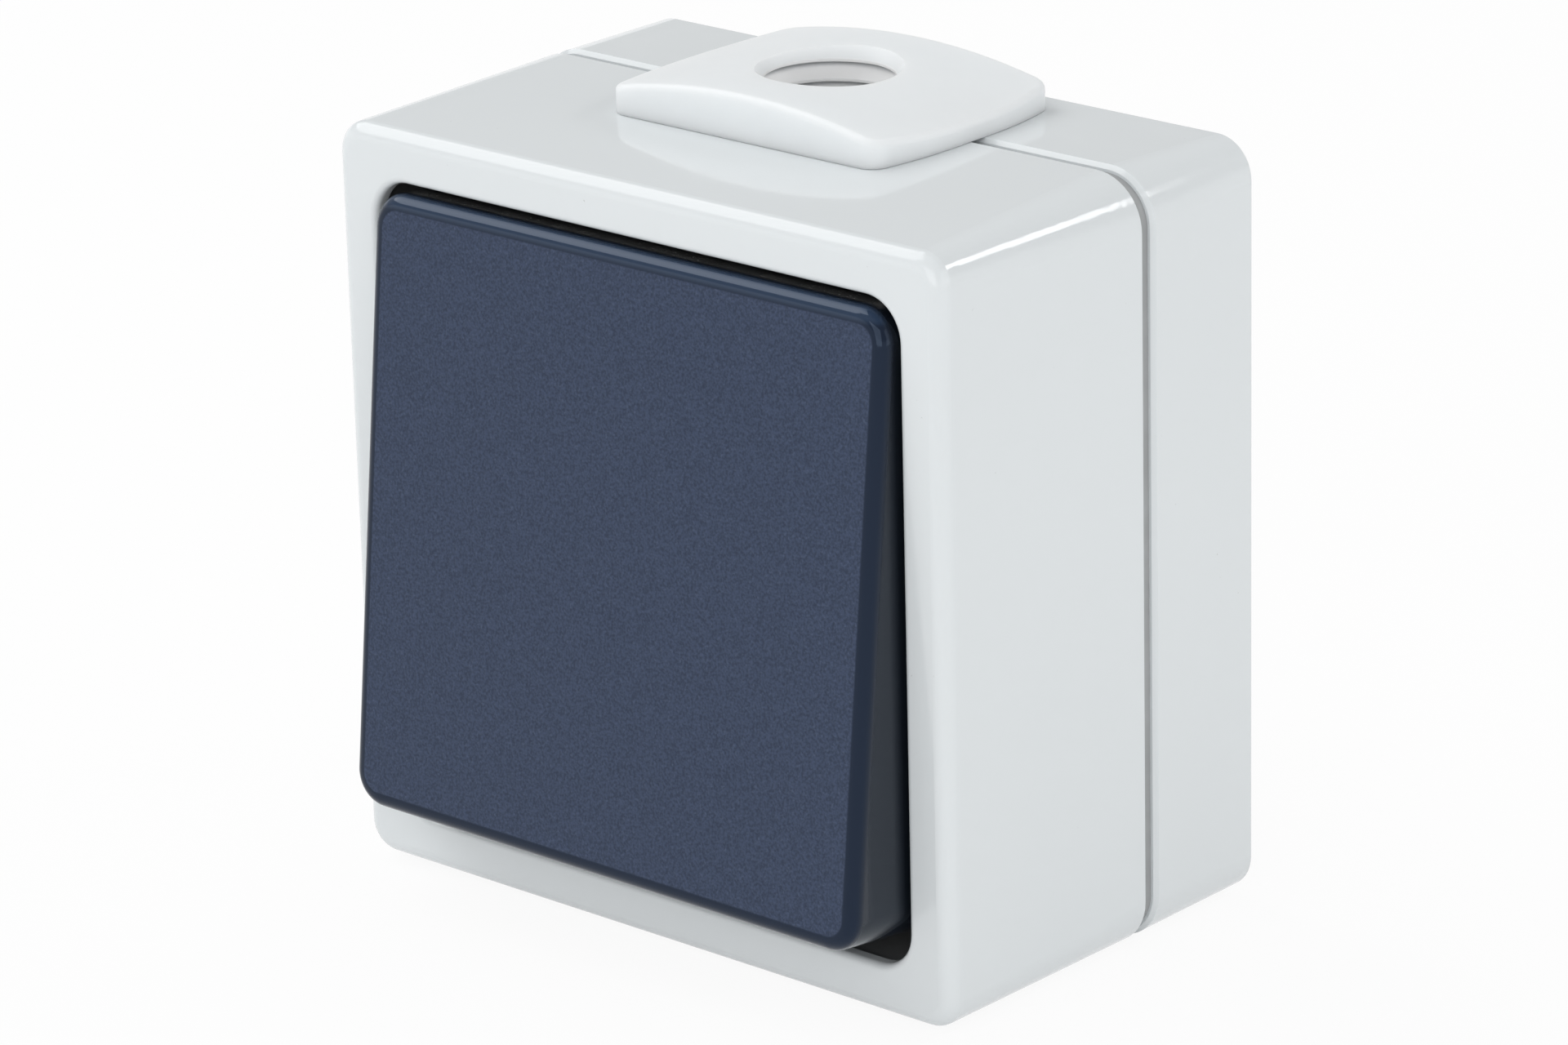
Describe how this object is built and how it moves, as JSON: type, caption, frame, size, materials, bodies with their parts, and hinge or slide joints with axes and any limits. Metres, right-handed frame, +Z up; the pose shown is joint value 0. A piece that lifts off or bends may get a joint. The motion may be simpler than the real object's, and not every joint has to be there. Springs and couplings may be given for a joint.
{
  "type": "weatherproof surface-mounted rocker switch",
  "caption": "Square surface-mounted outdoor switch: drafted box in base and cover halves with a seam seal, wide rocker in a window, and a ribbed cable entry on top.",
  "frame": {"origin": "centre of the flat back face, which goes on the wall", "axes": "+X to the right seen from the front, +Y into the wall, +Z up towards the cable entry; the rocker faces -Y"},
  "size_m": [0.066, 0.0452, 0.0696],
  "materials": {
    "housing_grey": "smooth light grey moulded plastic",
    "seal_grey": "soft grey sealing rubber",
    "grommet_white": "soft off-white moulding",
    "rocker_blue": "dark blue, fine textured face and smooth edges",
    "carrier_black": "black moulded plastic",
    "rubber_black": "black rubber",
    "actuator_white": "white sliding plastic",
    "insert_ivory": "ivory moulded insert",
    "steel": "bright zinc-plated steel",
    "brass": "plain brass strip",
    "silver": "silver contact metal"
  },
  "bodies": {
    "housing": {"rear_base": "housing_grey", "housing_seal": "seal_grey", "front_cover": "housing_grey", "cable_grommet": "grommet_white", "rocker_carrier": "carrier_black", "carrier_lip_seal": "rubber_black", "insert_body": "insert_ivory", "common_terminal": "brass", "upper_terminal": "brass", "lower_terminal": "brass", "contact_pin": "steel", "fixed_contact_tips": "silver", "terminal_clamps": "brass", "terminal_screws": "steel", "insert_screws": "steel", "cover_screws": "steel", "cover_screw_washers": "rubber_black"},
    "rocker": {"rocker_cap": "rocker_blue", "actuator": "actuator_white", "plunger_spring": "steel"},
    "plunger": {"plunger": "actuator_white"},
    "contact": {"contact_bridge": "brass", "moving_contact_tips": "silver"}
  },
  "joints": [
    {"name": "rocker_tilt", "type": "hinge", "parent": "housing", "child": "rocker", "pos_m": [0, -0.0311, 0], "axis": [1, 0, 0], "range_deg": [0, 12.4]},
    {"name": "contact_tilt", "type": "hinge", "parent": "housing", "child": "contact", "pos_m": [0, -0.014, 0], "axis": [1, 0, 0], "range_deg": [-16, 0]},
    {"name": "plunger_slide", "type": "slide", "parent": "rocker", "child": "plunger", "axis": [0, -0.9942, 0.108], "range_m": [0, 0.0008], "stiffness_N_per_m": 800, "deforming": ["plunger_spring"]}
  ],
  "couplings": [
    {"joint": "contact_tilt", "follows": "rocker_tilt", "ratio": -1.29}
  ]
}
